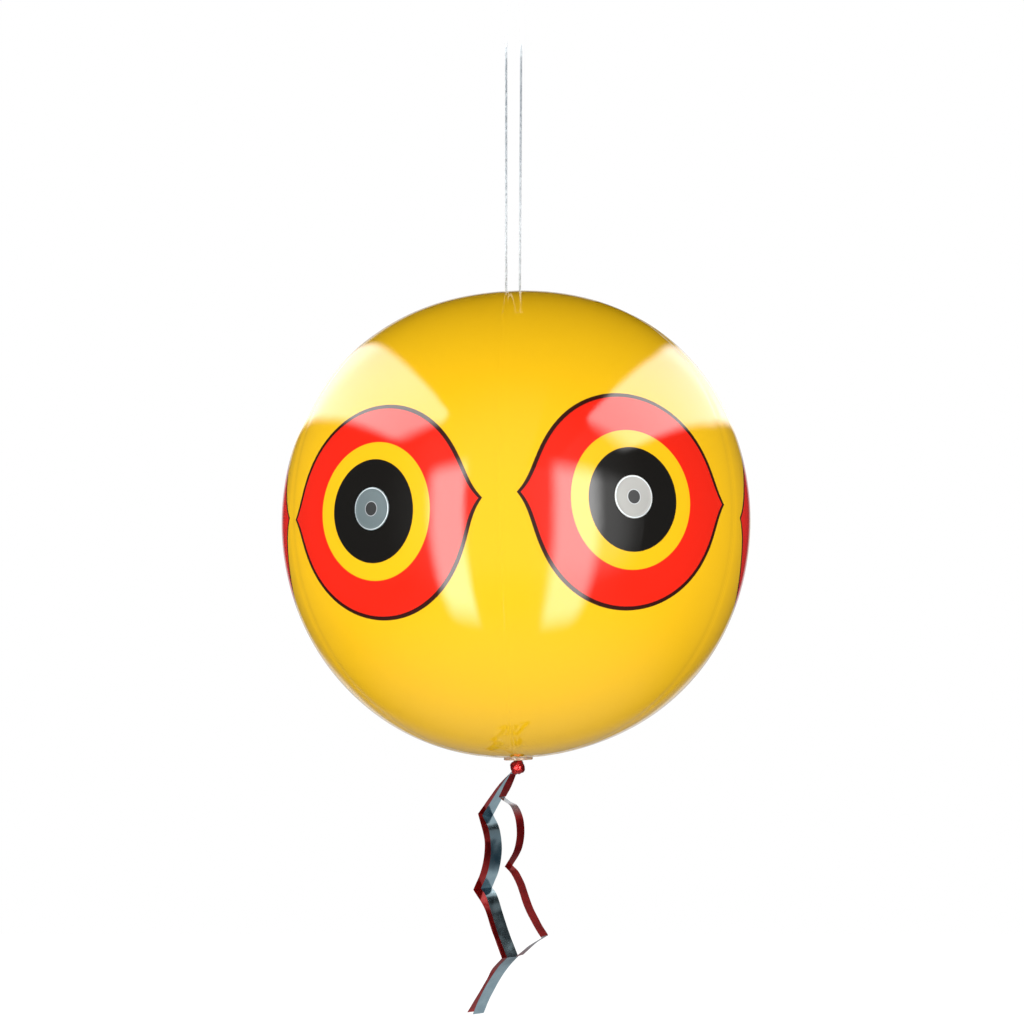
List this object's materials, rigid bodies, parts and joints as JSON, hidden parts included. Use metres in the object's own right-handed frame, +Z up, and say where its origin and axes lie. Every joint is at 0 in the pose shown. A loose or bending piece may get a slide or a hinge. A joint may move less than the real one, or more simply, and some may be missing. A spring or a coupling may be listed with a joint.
{
  "type": "hanging inflatable bird scare balloon",
  "caption": "Round yellow inflatable with printed staring eyes and foil pupils, hung from a cord loop, with foil ribbon streamers tied below.",
  "frame": {"origin": "where a hook bears in the crown of the hanging cord's loop", "axes": "+Z up, -Y towards the side whose middle seam lies between two eyes, +X to the right seen from that side"},
  "size_m": [0.3991, 0.3968, 0.9193],
  "materials": {
    "yellow_film": "glossy yellow inflated PVC film, printed with red, black and yellow eyes",
    "clear_pvc": "moulded translucent soft PVC",
    "foil_silver": "metallised film, silver, bright",
    "foil_red": "metallised film, red, bright",
    "cord": "clear twisted synthetic cord"
  },
  "bodies": {
    "cord": {"hanging_cord": "cord", "cord_knot": "cord"},
    "balloon": {"gore_1": "yellow_film", "gore_2": "yellow_film", "gore_3": "yellow_film", "gore_4": "yellow_film", "gore_5": "yellow_film", "gore_6": "yellow_film", "foil_pupil_1": "foil_silver", "foil_pupil_2": "foil_silver", "foil_pupil_3": "foil_silver", "foil_pupil_4": "foil_silver", "foil_pupil_5": "foil_silver", "foil_pupil_6": "foil_silver", "top_eyelet": "clear_pvc", "bottom_eyelet": "clear_pvc", "valve_base": "clear_pvc", "valve_plug": "clear_pvc", "ribbon_knot": "foil_red"},
    "streamer": {"long_ribbon_front": "foil_silver", "long_ribbon_back": "foil_red", "short_ribbon": "foil_red"}
  },
  "joints": [
    {"name": "balloon_rock", "type": "hinge", "parent": "cord", "child": "balloon", "pos_m": [-0.00079, 0, -0.2996], "axis": [1, 0, 0], "range_deg": [-45, 45]},
    {"name": "streamer_swing", "type": "hinge", "parent": "balloon", "child": "streamer", "pos_m": [0.00288, 0, -0.7061], "axis": [0, 1, 0], "range_deg": [-40, 40]}
  ]
}
